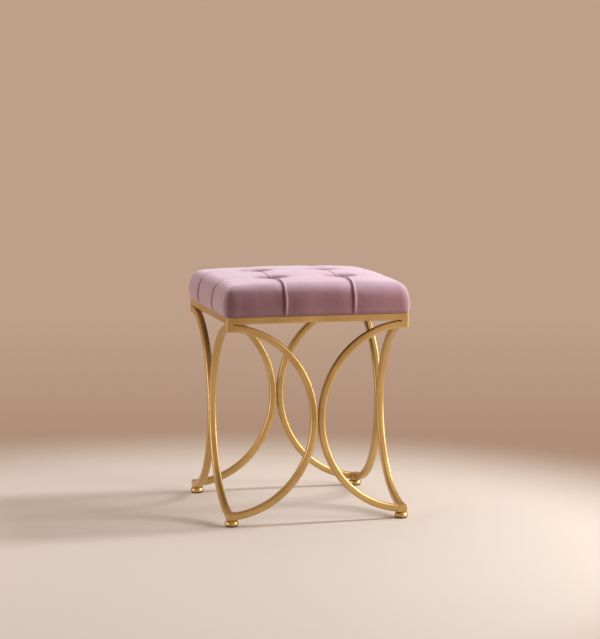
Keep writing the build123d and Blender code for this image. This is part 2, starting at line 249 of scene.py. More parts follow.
def zincFinish():
    finish, tree, shader, point = startFinish("zincSteel", Metallic=1.0)
    spangle = cellular(tree, point, zinc["spangleScale"])["Color"]
    cloud = mottle(tree, point, zinc["cloudScale"])
    colour = twoTone(tree, weigh(tree, cloud, zinc["cloudShare"], spangle), zinc)
    wire(tree, shader, Base_Color=colour, Roughness=spread(tree, cloud, *zinc["roughness"]))
    emboss(tree, shader, mottle(tree, point, zinc["grainScale"]), *zinc["bump"])
    return finish


def nylonFinish():
    finish, tree, shader, point = startFinish("nylon", Specular_IOR_Level=nylon["specular"])
    cloud = mottle(tree, point, nylon["cloudScale"])
    scuffs = mottle(tree, stretch(tree, point, 1, nylon["scuffStretch"], 1), nylon["scuffScale"])
    rough = spread(tree, cloud, *nylon["roughness"])
    wire(tree, shader, Base_Color=twoTone(tree, scuffs, nylon), Roughness=rough)
    emboss(tree, shader, scuffs, *nylon["bump"])
    return finish


dress(zincFinish(), "seat_screws", "staples", *atCorners("glide_stud"))
dress(glideFinish(), *atCorners("glide_bun"))
dress(nylonFinish(), *atCorners("floor_pad"))
print("glides dressed")

# hidden pieces under the cover: plywood, ties, anchors and insert nuts
plywood = {
    "light": srgb(214, 184, 142),
    "dark": srgb(170, 128, 84),
    "glue": srgb(120, 84, 52),
    "roughness": (0.6, 0.8),
    "plies": 7,
    "glueShare": 0.12,  # of each ply's thickness
    "edgeFacing": 0.5,  # the plies show on faces that are more upright than this
    "grainScale": 160.0,
    "grainStretch": 0.06,
    "bump": (0.3, 0.0003),
}
twine = {
    "light": srgb(232, 226, 210),
    "dark": srgb(186, 178, 160),
    "roughness": 0.85,
    "layUp": 4200.0,
    "layAcross": 3000.0,
    "bump": (0.5, 0.0003),
}
anchor = {
    "light": srgb(216, 211, 199),
    "dark": srgb(196, 190, 176),
    "roughness": (0.4, 0.55),
    "cloudScale": 300.0,
    "grainScale": 1800.0,
    "bump": (0.15, 0.0001),
}
brass = {
    "light": srgb(202, 168, 96),
    "dark": srgb(166, 128, 62),
    "roughness": (0.25, 0.4),
    "cloudScale": 400.0,
    "knurls": 40.0,
    "screwHead": 0.0046,  # radius of the screws' heads, which end the screws' box
    "bump": (0.6, 0.0002),
}
boardLow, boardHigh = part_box("seat_board")
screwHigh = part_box("seat_screws")[1]


def plywoodFinish():
    finish, tree, shader, point = startFinish("plywood")
    along = stretch(tree, point, 1, plywood["grainStretch"], 1)
    grain = mottle(tree, along, plywood["grainScale"], detail=5.0)
    height = splitAxes(tree, point)[2]
    ply = sums(tree, "FRACT", spread(tree, height, 0.0, plywood["plies"], boardLow.z, boardHigh.z))
    glueLine = sums(tree, "LESS_THAN", ply, plywood["glueShare"])
    onEdge = sums(tree, "LESS_THAN", sums(tree, "ABSOLUTE", facingUp(tree)), plywood["edgeFacing"])
    glued = scaled(tree, glueLine, onEdge)
    colour = blendColour(tree, glued, twoTone(tree, grain, plywood), plywood["glue"])
    wire(tree, shader, Base_Color=colour, Roughness=spread(tree, grain, *plywood["roughness"]))
    emboss(tree, shader, grain, *plywood["bump"])
    return finish


def twineFinish():
    finish, tree, shader, point = startFinish("twine", Roughness=twine["roughness"])
    x, _, z = splitAxes(tree, point)
    lay = sums(tree, "ADD", scaled(tree, z, twine["layUp"]), scaled(tree, x, twine["layAcross"]))
    strand = sums(tree, "SINE", lay)
    share = spread(tree, strand, 0.0, 1.0, -1, 1)
    wire(tree, shader, Base_Color=blendColour(tree, share, twine["dark"], twine["light"]))
    emboss(tree, shader, strand, *twine["bump"])
    return finish


def anchorFinish():
    finish, tree, shader, point = startFinish("anchorPlastic")
    cloud = mottle(tree, point, anchor["cloudScale"])
    rough = spread(tree, cloud, *anchor["roughness"])
    wire(tree, shader, Base_Color=twoTone(tree, cloud, anchor), Roughness=rough)
    emboss(tree, shader, mottle(tree, point, anchor["grainScale"]), *anchor["bump"])
    return finish


def brassFinish():
    finish, tree, shader, point = startFinish("insertBrass", Metallic=1.0)
    head = brass["screwHead"]
    _, offX, offY, _ = axisRadius(tree, point, screwHigh.x - head, screwHigh.y - head)
    knurl = sums(tree, "SINE", scaled(tree, sums(tree, "ARCTAN2", offY, offX), brass["knurls"]))
    cloud = mottle(tree, point, brass["cloudScale"])
    rough = spread(tree, cloud, *brass["roughness"])
    wire(tree, shader, Base_Color=twoTone(tree, cloud, brass), Roughness=rough)
    emboss(tree, shader, knurl, *brass["bump"])
    return finish


dress(plywoodFinish(), "seat_board")
dress(twineFinish(), "tuft_ties")
dress(anchorFinish(), "tie_anchors")
dress(brassFinish(), "insert_nuts")
print("hidden pieces dressed")

# dusty rose velvet
tuftAt = 0.068  # how far the seams and the tufts lie from the middle, both ways
velvet = {
    "base": srgb(169, 117, 122),
    "deep": srgb(133, 85, 91),
    "tuftAndHemShade": srgb(114, 70, 76),  # painted shade in the tufts and along the hem, partly the flattened pile's darker tone
    # painted highlight: paler copies of the velvet colour for upward faces, where the light falls on the
    # top
    "litTopBase": srgb(218, 180, 196),
    "litTopDeep": srgb(202, 162, 178),
    "lean": 2.4,  # painted light: the sides are painted paler to the right, where the light falls
    "shoulderRightLight": 0.9,  # and the painted light of the top comes further down the shoulder there
    "leanLimit": 2.2,  # but not down the upright sides
    "litTopFacing": (0.34, 0.84),  # how far up the cloth faces where the painted light of the top starts and is full
    "roughness": 0.92,
    "specular": 0.12,
    "sheen": 1.0,
    "sheenRoughness": 0.58,
    "sheenTint": srgb(255, 236, 250),
    "napScale": 34.0,
    "napShare": 0.75,  # the rest of the mottle is the pile's
    "sideStretch": 0.3,
    "topStretch": 0.4,
    "topScale": 0.7,  # the nap of the top is coarser
    "pileScale": 2600.0,
    "bump": (0.35, 0.0005),
    "hem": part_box("velvet_cover")[0].z,
    # painted shade along the hem fades out over this height
    "hemShadeHeight": 0.006,
    "tuftShade": 0.95,  # how strongly the painted shade darkens the tufts
    "tuftShadeReach": (0.008, 0.029),
}


def velvetFinish(name, look):
    finish, tree, shader, point = startFinish(
        name, Roughness=look["roughness"], Specular_IOR_Level=look["specular"], Sheen_Weight=look["sheen"],
        Sheen_Roughness=look["sheenRoughness"], Sheen_Tint=look["sheenTint"],
    )
    x, _, z = splitAxes(tree, point)
    facing = facingUp(tree)
    # painted light: upward faces take the pale lit colour, further down the shoulder on the right
    litFacing = sums(tree, "ADD", facing, scaled(tree, x, look["shoulderRightLight"]))
    litFacing = sums(tree, "MINIMUM", litFacing, scaled(tree, facing, look["leanLimit"]))
    onTop = spread(tree, litFacing, 0.0, 1.0, *look["litTopFacing"])
    sideNap = mottle(tree, stretch(tree, point, 1, 1, look["sideStretch"]), look["napScale"])
    topScale = look["napScale"] * look["topScale"]
    topNap = mottle(tree, stretch(tree, point, 1, look["topStretch"], 1), topScale)
    nap = put(tree, "ShaderNodeMix", {0: onTop, 2: sideNap, 3: topNap}).outputs[0]
    pile = mottle(tree, point, look["pileScale"], detail=1.0)
    share = spread(tree, weigh(tree, nap, look["napShare"], pile), 0.0, 1.0)
    # painted light: the sides are painted paler towards the right, where the light comes from
    leaning = sums(tree, "ADD", share, scaled(tree, x, look["lean"]))
    sides = blendColour(tree, spread(tree, leaning, 0.0, 1.0, 0.0, 1.0), look["deep"], look["base"])
    # painted highlight: the pale lit colour of the top
    litTop = blendColour(tree, share, look["litTopDeep"], look["litTopBase"])
    # painted shade: the cloth darkens into the tufts and down to the hem
    clearOfHemShade = spread(tree, z, 0.0, 1.0, look["hem"], look["hem"] + look["hemShadeHeight"])
    radius = axisRadius(tree, point, tuftAt, tuftAt)[0]
    clearOfTuftShade = spread(tree, radius, 1.0 - look["tuftShade"], 1.0, *look["tuftShadeReach"])
    shown = scaled(tree, clearOfHemShade, clearOfTuftShade)
    colour = blendColour(tree, shown, look["tuftAndHemShade"], blendColour(tree, onTop, sides, litTop))
    wire(tree, shader, Base_Color=colour)
    emboss(tree, shader, pile, *look["bump"])
    return finish


velvetCloth = velvetFinish("velvet", velvet)
coverLow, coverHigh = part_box("velvet_cover")
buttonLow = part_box("tuft_buttons")[0]
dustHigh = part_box("dust_cover")[1]

# velvet cover: a rounded box of cloth, sewn along four seams and drawn down at four tufts
cover = {
    "half": 0.1833,  # flat of the sides, before they swell
    "floor": coverLow.z + 0.0002,
    "rise": coverHigh.z - coverLow.z + 0.0022,
    "topRound": 0.028,
    "cornerRound": 0.024,
    "cornerSquare": 3.2,  # above 2 the upright corners are tighter than the shoulder
    "underRound": 0.0022,
    "underTurns": (30, 60, 90),
    "hemShares": (0.3, 0.6, 0.85, 1.0),
    "hemAt": dustHigh.x + 0.0006,
    "hemCorner": 0.004,
    "crownRadius": 3.3,
    "seam": tuftAt,
    "seamDepthTop": 0.0012,
    "seamDepthSide": 0.0009,
    "seamWidth": 0.0095,
    "seamCurve": 1.3,
    "footHold": 0.35,  # how much of a seam's depth is left at the hem
    "footRise": 0.012,
    "tuftDraw": 0.0030,  # the cloth drawn in round a tuft
    "tuftReach": 0.034,
    "tuftCurve": 1.4,
    "tuftStar": 0.75,  # below 1 the tuft is drawn out along the seams
    "pitFloor": 0.0065,
    "pitMouth": 0.029,
    "pitWide": 1.3,
    "pitCurve": 1.2,
    "swell": 0.0028,
    "swellTop": 0.4,  # the swell ends this share of the shoulder's round below the top
    "swellLow": 0.7,  # below 1 the sides are fullest low down
    "cloth": 0.0012,
    "coarseGrid": ((-0.006, 0.0, 0.006), 0.0062, 4),  # lines beside the seams, step, steps round an edge
    "fineStep": 0.0055,
    "fineTurns": 5,
    "pressure": 1.5,
    "frames": 20,
    "cap": 0.0022,
    "evenRounds": 8,  # rounds of smoothing, so that no dent is left in the panels
    "heldAtTuft": 0.0095,
    "heldAtSeam": 0.0005,
    "heldAtHem": 0.0033,
    "freeFrom": 0.032,  # height from which the cloth takes up all of the inflated form
}
pleat = {
    "groove": 0.0022,
    "grooveWidth": 0.0010,
    "lip": 0.0036,
    "lipAt": 0.0024,
    "lipWidth": (0.0014, 0.0030),  # steep beside the groove, then sloping away
    "topShare": (0.2, 0.1),  # how much of the fold shows beside the tufts, along y and along x
    "rimShare": (0.75, 0.45),  # and where it comes to the edge of the top
    "rimAt": (0.095, 0.155),
    "farLoss": 0.8,  # how much less of it shows at the far edge
    "farAt": (0.07, 0.10),
    "clearOfTuft": (0.010, 0.030),
    "swayAlong": (0.0005, 31.0, 1.3),  # width, rate and start
    "swayDown": (0.0003, 140.0),
    "crease": 0.00025,
    "creaseScale": 22.0,
    "lines": (-0.021, -0.0165, -0.0125, -0.009, -0.006, -0.004, -0.0025, -0.0016, -0.0008, 0.0,
              0.0008, 0.0016, 0.0024, 0.0033, 0.0042, 0.0051, 0.0062, 0.0078, 0.0098, 0.0125,
              0.0165, 0.021),
}


def fillIn(fixed, step, slack=0.0):
    # even lines between the fixed ones
    lines = []
    for start, stop in zip(fixed, fixed[1:]):
        count = max(1, math.ceil((stop - start) / step - slack))
        lines += [start + (stop - start) * index / count for index in range(count)]
    return lines + fixed[-1:]


def gridLines(offsets, step, turns):
    fixed = [side * cover["seam"] + offset for side in (-1, 1) for offset in offsets]
    for turn in range(turns + 1):
        rim = cover["half"] - cover["cornerRound"] * (1 - math.tan(math.pi / 4 * turn / turns))
        fixed += [-rim, rim]
    return np.array(fillIn(sorted(fixed), step, slack=0.01))


def sideRows(step, turns):
    # (height, how far in from the side, how far the cloth has turned under), from the top edge to the hem
    under = cover["underRound"]
    shoulder = cover["rise"] - cover["topRound"]
    rows = [(shoulder + cover["topRound"] * math.tan(math.pi / 4 * turn / turns), 0.0, 0.0)
            for turn in range(turns - 1, -1, -1)]
    count = math.ceil((shoulder - under) / step)
    fall = (shoulder - under) / count
    rows += [(shoulder - fall * index, 0.0, 0.0) for index in range(1, count + 1)]
    for angle in map(math.radians, cover["underTurns"]):
        rows.append((under * (1 - math.sin(angle)), under * (1 - math.cos(angle)), angle))
    hemInset = cover["half"] - cover["hemAt"]
    rows += [(0.0, under + (hemInset - under) * share, math.pi / 2) for share in cover["hemShares"]]
    return rows


def coverSurface(offsets, step, turns):
    lines = gridLines(offsets, step, turns)
    rows = sideRows(step, turns)
    size = len(lines)
    flat = [(x, y, cover["rise"], 0.0, 0.0) for x in lines for y in lines]
    faces = [(i * size + j, (i + 1) * size + j, (i + 1) * size + j + 1, i * size + j + 1)
             for i in range(size - 1) for j in range(size - 1)]
    last = size - 1
    rim = [(i, 0) for i in range(last)] + [(last, j) for j in range(last)]
    rim += [(i, last) for i in range(last, 0, -1)] + [(0, j) for j in range(last, 0, -1)]
    ring = [i * size + j for i, j in rim]
    for height, inset, turned in rows:
        below = list(range(len(flat), len(flat) + len(rim)))
        flat += [(lines[i], lines[j], height, inset, turned) for i, j in rim]
        for index in range(len(rim)):
            after = (index + 1) % len(rim)
            faces.append((ring[index], below[index], below[after], ring[after]))
        ring = below
    return np.array(flat), faces, ring


def roundOff(flat):
    # turns the sharp box into a rounded one; gives the points and which way they face
    x, y, z, inset, turned = flat.T
    shrink = (cover["half"] - inset) / cover["half"]
    corner = np.maximum(cover["cornerRound"] - inset, cover["hemCorner"])
    core = cover["half"] - inset - corner
    coreX = np.clip(x * shrink, -core, core)
    coreY = np.clip(y * shrink, -core, core)
    coreZ = np.minimum(z, cover["rise"] - cover["topRound"])
    overX = (x * shrink - coreX) / corner
    overY = (y * shrink - coreY) / corner
    overZ = (z - coreZ) / cover["topRound"]
    power = cover["cornerSquare"]
    level = np.maximum((np.abs(overX) ** power + np.abs(overY) ** power) ** (1 / power), 1e-9)
    size = np.hypot(level, overZ)
    points = np.stack((coreX + corner * overX / size, coreY + corner * overY / size,
                       coreZ + cover["topRound"] * overZ / size), axis=1)
    turnX = np.sign(overX) * level * (np.abs(overX) / level) ** (power - 1)
    turnY = np.sign(overY) * level * (np.abs(overY) / level) ** (power - 1)
    facing = np.stack((turnX, turnY, overZ), axis=1)
    facing /= np.linalg.norm(facing, axis=1, keepdims=True)
    down = np.array((0.0, 0.0, -1.0))
    facing = facing * np.cos(turned)[:, None] + down * np.sin(turned)[:, None]
    return points, facing


def easeIn(value, start, stop):
    share = np.clip((value - start) / (stop - start), 0, 1)
    return share * share * (3 - 2 * share)


def acrossSeam(place):
    # signed distance across the nearer of the two seams
    past, before = place - cover["seam"], place + cover["seam"]
    return np.where(np.abs(past) < np.abs(before), past, before)


def seamReach(flat, facing):
    # how far each point lies across the seams, faces up and is held by the sewing
    top = np.clip(facing[:, 2], 0, 1)
    hold = cover["footHold"] + (1 - cover["footHold"]) * easeIn(flat[:, 2], 0.0, cover["footRise"])
    turnedUnder = flat[:, 4] > 0.1
    return acrossSeam(flat[:, 0]), acrossSeam(flat[:, 1]), top, np.where(turnedUnder, 0.0, hold)


def tuftDepth(acrossX, acrossY):
    # cloth drawn out along the seams, with a round pit down to the button
    power = cover["tuftStar"]
    star = (np.abs(acrossX) ** power + np.abs(acrossY) ** power) ** (1 / power)
    drawn = cover["tuftDraw"] * np.exp(-(star / cover["tuftReach"]) ** cover["tuftCurve"])
    crownDrop = cover["seam"] ** 2 / cover["crownRadius"]
    bottom = cover["floor"] + cover["rise"] - crownDrop - buttonLow.z
    pit = bottom - cover["tuftDraw"] - 2 * cover["seamDepthTop"]
    out = np.hypot(acrossX / cover["pitWide"], acrossY)
    wall = np.clip((cover["pitMouth"] - out) / (cover["pitMouth"] - cover["pitFloor"]), 0, 1)
    return drawn + pit * np.sin(wall * math.pi / 2) ** cover["pitCurve"]


def sewDown(flat, points, facing):
    acrossX, acrossY, top, hold = seamReach(flat, facing)
    depth = cover["seamDepthSide"] + (cover["seamDepthTop"] - cover["seamDepthSide"]) * top
    drawn = np.zeros(len(flat))
    for across in (acrossX, acrossY):
        drawn += depth * np.exp(-(np.abs(across) / cover["seamWidth"]) ** cover["seamCurve"])
    drawn += tuftDepth(acrossX, acrossY) * top
    height = flat[:, 2]
    upright = np.clip(height / (cover["rise"] - cover["topRound"]), 0, 1)
    swellEnd = cover["rise"] - cover["swellTop"] * cover["topRound"]
    bulge = np.clip(height / swellEnd, 0, 1) ** cover["swellLow"]
    swell = cover["swell"] * np.sin(math.pi * bulge) ** 2 * (1 - top)
    crown = (points[:, 0] ** 2 + points[:, 1] ** 2) / (2 * cover["crownRadius"])
    crown = crown * upright * np.clip(facing[:, 2] + 1, 0, 1)
    shaped = points + facing * (swell - drawn * hold)[:, None]
    shaped[:, 2] -= np.where(flat[:, 4] > 0, 0, crown)
    return shaped


def inflate(points, faces, held):
    mesh = bpy.data.meshes.new("coverForm")
    mesh.from_pydata([tuple(point) for point in points], [], faces)
    form = bpy.data.objects.new("coverForm", mesh)
    scene.collection.objects.link(form)
    heldPoints = [int(index) for index in np.flatnonzero(held)]
    form.vertex_groups.new(name="sewn").add(heldPoints, 1.0, "REPLACE")
    cloth = form.modifiers.new("Cloth", "CLOTH")
    cloth.settings.quality = 7
    cloth.settings.mass = 0.1
    cloth.settings.tension_stiffness = 12
    cloth.settings.compression_stiffness = 12
    cloth.settings.shear_stiffness = 5
    cloth.settings.bending_stiffness = 0.4
    cloth.settings.use_pressure = True
    cloth.settings.uniform_pressure_force = cover["pressure"]
    cloth.settings.vertex_group_mass = "sewn"
    cloth.settings.effector_weights.gravity = 0.0
    cloth.point_cache.frame_end = cover["frames"]
    for step in range(1, cover["frames"] + 1):
        scene.frame_set(step)
    settled = form.evaluated_get(bpy.context.evaluated_depsgraph_get())
    after = np.empty(len(mesh.vertices) * 3)
    settled.data.vertices.foreach_get("co", after)
    bpy.data.objects.remove(form)
    scene.frame_set(1)
    move = after.reshape(-1, 3) - points
    length = np.linalg.norm(move, axis=1, keepdims=True)
    return move * np.tanh(length / cover["cap"]) * cover["cap"] / np.maximum(length, 1e-9)


def evenOut(move, faces):
    edges = {tuple(sorted(pair)) for face in faces for pair in zip(face, face[1:] + face[:1])}
    starts, stops = np.array(sorted(edges)).T
    shares = np.bincount(np.concatenate((starts, stops)), minlength=len(move))[:, None]
    for _ in range(cover["evenRounds"]):
        total = np.zeros_like(move)
        np.add.at(total, starts, move[stops])
        np.add.at(total, stops, move[starts])
        move = (move + total / shares) / 2
    return move


def carryOver(points, coarse, coarseFaces, move):
    # reads the settled cloth's movement at each point of the finer cloth
    tree = BVHTree.FromPolygons([Vector(point) for point in coarse], coarseFaces)
    carried = np.zeros_like(points)
    for index, point in enumerate(points):
        spot, _, face, _ = tree.find_nearest(Vector(point))
        corners = coarseFaces[face]
        weights = poly_3d_calc([Vector(coarse[corner]) for corner in corners], spot)
        carried[index] = sum(weight * move[corner] for weight, corner in zip(weights, corners))
    return carried


def pleatHeight(across):
    groove = np.exp(-(across / pleat["grooveWidth"]) ** 2)
    past = across - pleat["lipAt"]
    lip = np.exp(-(past / np.where(past < 0, *pleat["lipWidth"])) ** 2)
    return pleat["lip"] * lip - pleat["groove"] * groove


def foldPleats(flat, points, facing):
    acrossX, acrossY, top, hold = seamReach(flat, facing)
    nearTuft = np.hypot(acrossX, acrossY) * top + (1 - top)
    clear = easeIn(nearTuft, *pleat["clearOfTuft"])
    raised = np.zeros(len(flat))
    width, rate, start = pleat["swayAlong"]
    downWidth, downRate = pleat["swayDown"]
    seams = zip((acrossX, -acrossY), (flat[:, 1], flat[:, 0]), pleat["topShare"], pleat["rimShare"])
    for across, along, topShare, rimShare in seams:
        sway = width * np.sin(along * rate + start) + downWidth * np.sin(flat[:, 2] * downRate)
        share = topShare + (rimShare - topShare) * easeIn(-along, *pleat["rimAt"])
        share *= 1 - pleat["farLoss"] * easeIn(along, *pleat["farAt"])
        raised += pleatHeight(across + sway) * (share + (1 - share) * (1 - top))
    creases = np.array([noise.noise(Vector(point) * pleat["creaseScale"]) for point in points])
    raised = raised * clear * hold + pleat["crease"] * creases * hold
    return points + facing * raised[:, None]


def inflation(coarseFlat, coarseFacing, coarse, coarseFaces):
    # how far the coarse cloth moves when it is blown up between its sewn points
    acrossX, acrossY, top, _ = seamReach(coarseFlat, coarseFacing)
    atTuft = (np.hypot(acrossX, acrossY) < cover["heldAtTuft"]) & (top > 0.5)
    atSeam = (np.minimum(np.abs(acrossX), np.abs(acrossY)) < cover["heldAtSeam"]) & (top < 0.3)
    sewn = atTuft | atSeam | (coarseFlat[:, 2] < cover["heldAtHem"])
    move = evenOut(inflate(coarse, coarseFaces, sewn), coarseFaces)
    return move * easeIn(coarseFlat[:, 2], 0.0, cover["freeFrom"])[:, None]


def makeCover():
    coarseFlat, coarseFaces, _ = coverSurface(*cover["coarseGrid"])
    coarsePoints, coarseFacing = roundOff(coarseFlat)
    coarse = sewDown(coarseFlat, coarsePoints, coarseFacing)
    move = np.zeros_like(coarse)
    move = inflation(coarseFlat, coarseFacing, coarse, coarseFaces)
    print("cover inflated: largest move", round(float(np.abs(move).max()) * 1000, 2), "mm")
    flat, faces, hem = coverSurface(pleat["lines"], cover["fineStep"], cover["fineTurns"])
    points, facing = roundOff(flat)
    shaped = sewDown(flat, points, facing)
    shaped += carryOver(shaped, coarse, coarseFaces, move)
    outer = foldPleats(flat, shaped, facing)
    inner = outer - facing * cover["cloth"]
    both = np.concatenate((outer, inner)) + np.array((0.0, 0.0, cover["floor"]))
    count = len(outer)
    shell = list(faces) + [tuple(corner + count for corner in reversed(face)) for face in faces]
    for index in range(len(hem)):
        after = hem[(index + 1) % len(hem)]
        shell.append((hem[index], hem[index] + count, after + count, after))
    piece = makePiece("velvetCover", both, shell, velvetCloth)
    smoothing = piece.modifiers.new("smoothCloth", "SUBSURF")
    smoothing.levels = 1
    smoothing.render_levels = 1
    return piece


velvetCover = makeCover()
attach(velvetCover, "stool")
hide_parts("velvet_cover")
print("velvet cover made:", len(velvetCover.data.vertices), "points")

# foam pad: follows the cover from inside, down to the board
foam = {
    "under": 0.0055,  # clear of the cover's seams and pleats
    "grid": ((-0.006, 0.0, 0.006), 0.009, 3),  # lines beside the seams, step, steps round an edge
    "wallFrom": 0.004,  # the shaped skin ends here, and a straight wall goes on down to the board
    "lift": 0.001,
    "light": srgb(238, 228, 196),
    "dark": srgb(206, 190, 148),
    "roughness": 0.9,
    "specular": 0.2,
    "cellScale": 900.0,
    "cellShare": 0.6,
    "cloudScale": 40.0,
    "bump": (0.6, 0.0006),
}
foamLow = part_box("foam_pad")[0]


def foamFinish():
    finish, tree, shader, point = startFinish(
        "foam", Roughness=foam["roughness"], Specular_IOR_Level=foam["specular"],
    )
    cells = cellular(tree, point, foam["cellScale"])["Distance"]
    cloud = mottle(tree, point, foam["cloudScale"])
    share = weigh(tree, cells, foam["cellShare"], cloud)
    wire(tree, shader, Base_Color=twoTone(tree, share, foam))
    emboss(tree, shader, cells, *foam["bump"])
    return finish


def makeFoam():
    flat, faces, _ = coverSurface(*foam["grid"])
    points, facing = roundOff(flat)
    shaped = sewDown(flat, points, facing) - facing * foam["under"]
    bottom = foamLow.z - cover["floor"]
    kept = flat[:, 2] > bottom + foam["wallFrom"]
    shaped[:, 2] = np.maximum(shaped[:, 2], bottom + foam["lift"])
    index = np.cumsum(kept) - 1
    skin = [tuple(int(index[corner]) for corner in face) for face in faces if kept[list(face)].all()]
    body = shaped[kept]
    uses = dict.fromkeys(pair for face in skin for pair in zip(face, face[1:] + face[:1]))
    rim = {start: stop for start, stop in uses if (stop, start) not in uses}
    loop = [next(iter(rim))]
    while rim[loop[-1]] != loop[0]:
        loop.append(rim[loop[-1]])
    base = [(*body[corner][:2], bottom) for corner in loop]
    count = len(body)
    for step in range(len(loop)):
        after = (step + 1) % len(loop)
        skin.append((loop[after], loop[step], count + step, count + after))
    skin.append(tuple(count + step for step in range(len(loop))))
    points = np.concatenate((body, np.array(base))) + np.array((0.0, 0.0, cover["floor"]))
    return makePiece("foamPad", points, skin, foamFinish())


foamPad = makeFoam()
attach(foamPad, "stool")
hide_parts("foam_pad")
print("foam made:", len(foamPad.data.vertices), "points")

# covered buttons at the floors of the tufts
button = {
    "radius": 0.0064,
    "rise": 0.0038,
    "wrap": 0.62,  # how far round the dome goes, in half turns
    "seat": 0.35,  # height of the dome's widest ring, as a share of its rise
    "folds": 10,
    "foldDepth": 0.00035,
    "spokes": 60,
    "rings": 9,
    "napScale": 90.0,
    # only a little of the tufts' painted shade on the buttons
    "tuftShade": 0.2,
}


def buttonPoints(middle):
    points = [middle + Vector((0, 0, button["rise"]))]
    seat = button["seat"]
    for ring in range(1, button["rings"] + 1):
        angle = math.pi * button["wrap"] * ring / button["rings"]
        height = max(0.0, button["rise"] * (seat + (1 - seat) * math.cos(angle)))
        for spoke in range(button["spokes"]):
            turn = 2 * math.pi * spoke / button["spokes"]
            gather = (ring / button["rings"]) ** 2 * button["foldDepth"] * math.sin(button["folds"] * turn)
            reach = (button["radius"] + gather) * math.sin(angle)
            points.append(middle + Vector((reach * math.cos(turn), reach * math.sin(turn), height)))
    return points


def buttonFaces(first):
    spokes, rings = button["spokes"], button["rings"]
    around = [(spoke, (spoke + 1) % spokes) for spoke in range(spokes)]
    faces = [(first, first + 1 + spoke, first + 1 + after) for spoke, after in around]
    for ring in range(rings - 1):
        start = first + 1 + ring * spokes
        below = start + spokes
        faces += [(start + spoke, below + spoke, below + after, start + after) for spoke, after in around]
    last = first + 1 + (rings - 1) * spokes
    return faces + [tuple(last + spoke for spoke in reversed(range(spokes)))]


def makeButtons():
    points, faces = [], []
    for sideX in (-1, 1):
        for sideY in (-1, 1):
            faces += buttonFaces(len(points))
            points += buttonPoints(Vector((sideX * cover["seam"], sideY * cover["seam"], buttonLow.z)))
    # the buttons carry the velvet's painted light and shade, with less painted shade in the tufts
    look = {**velvet, "napScale": button["napScale"], "tuftShade": button["tuftShade"]}
    return makePiece("tuftButtons", points, faces, velvetFinish("buttonVelvet", look))


tuftButtons = makeButtons()
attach(tuftButtons, "stool")
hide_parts("tuft_buttons")
print("tuft buttons made")

# dust cover: a thin cloth stapled flat under the board
dust = {
    "thick": 0.0005,
    "below": 0.0001,  # clear of the board
    "sag": 0.0011,
    "sagRate": 1.3,
    "crease": 0.00035,
    "creaseScale": 16,
    "creaseSlice": 3.0,
    "creaseRate": 6,  # how soon the creases start from the edge
    "hole": 0.00275,
    "screw": 0.150,
    "step": 0.008,
    "light": srgb(50, 49, 49),
    "dark": srgb(24, 24, 25),
    "roughness": 0.88,
    "specular": 0.2,
    "fibreScale": (1500.0, 1300.0),
    "fibreStretch": 0.2,
    "fibreShare": 0.4,  # of each of the two lays
    "bondScale": 700.0,
    "bondShare": 0.2,
    "bump": (0.4, 0.0003),
}


def dustFinish():
    finish, tree, shader, point = startFinish(
        "dustCloth", Roughness=dust["roughness"], Specular_IOR_Level=dust["specular"],
    )
    along = mottle(tree, stretch(tree, point, 1, dust["fibreStretch"], 1), dust["fibreScale"][0])
    across = mottle(tree, stretch(tree, point, dust["fibreStretch"], 1, 1), dust["fibreScale"][1])
    bonds = cellular(tree, point, dust["bondScale"])["Distance"]
    share = dust["fibreShare"]
    web = sums(tree, "ADD", scaled(tree, along, share), scaled(tree, across, share))
    web = sums(tree, "ADD", web, scaled(tree, bonds, dust["bondShare"]))
    wire(tree, shader, Base_Color=twoTone(tree, web, dust))
    emboss(tree, shader, web, *dust["bump"])
    return finish


def dustHeight(x, y):
    half = dustHigh.x
    edge = min(half - abs(x), half - abs(y)) / half
    sag = dust["sag"] * math.sin(min(1.0, max(0.0, edge * dust["sagRate"])) * math.pi / 2)
    spot = Vector((x * dust["creaseScale"], y * dust["creaseScale"], dust["creaseSlice"]))
    crease = dust["crease"] * noise.noise(spot) * min(1.0, edge * dust["creaseRate"])
    return dustHigh.z - dust["below"] - sag - abs(crease)


def roundHole(x, y):
    # moves the square of points round a screw onto its round hole
    screw, hole = dust["screw"], dust["hole"]
    middleX, middleY = math.copysign(screw, x), math.copysign(screw, y)
    offX, offY = x - middleX, y - middleY
    if abs(max(abs(offX), abs(offY)) - hole) >= 1e-6:
        return x, y
    reach = hole / math.hypot(offX, offY)
    return middleX + offX * reach, middleY + offY * reach


def makeDust():
    half, screw, hole = dustHigh.x, dust["screw"], dust["hole"]
    fixed = [side * screw + share * hole for side in (-1, 1) for share in (-1, -0.5, 0, 0.5, 1)]
    lines = fillIn(sorted(fixed + [-half, half]), dust["step"])
    size = len(lines)
    places = [roundHole(x, y) for x in lines for y in lines]
    cells = []
    for i in range(size - 1):
        for j in range(size - 1):
            x, y = (lines[i] + lines[i + 1]) / 2, (lines[j] + lines[j + 1]) / 2
            if max(abs(abs(x) - screw), abs(abs(y) - screw)) > hole:
                corner = i * size + j
                cells.append((corner, corner + size, corner + size + 1, corner + 1))
    used = sorted({corner for cell in cells for corner in cell})
    index = {corner: order for order, corner in enumerate(used)}
    cells = [tuple(index[corner] for corner in cell) for cell in cells]
    top = [(*places[corner], dustHeight(*places[corner])) for corner in used]
    count = len(top)
    points = top + [(x, y, z - dust["thick"]) for x, y, z in top]
    faces = cells + [tuple(corner + count for corner in reversed(cell)) for cell in cells]
    uses = {(start, stop) for cell in cells for start, stop in zip(cell, cell[1:] + cell[:1])}
    rim = [(start, stop) for start, stop in uses if (stop, start) not in uses]
    faces += [(stop, start, start + count, stop + count) for start, stop in rim]
    return makePiece("dustCover", points, faces, dustFinish())


dustCover = makeDust()
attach(dustCover, "stool")
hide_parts("dust_cover")
print("dust cover made:", len(dustCover.data.vertices), "points")

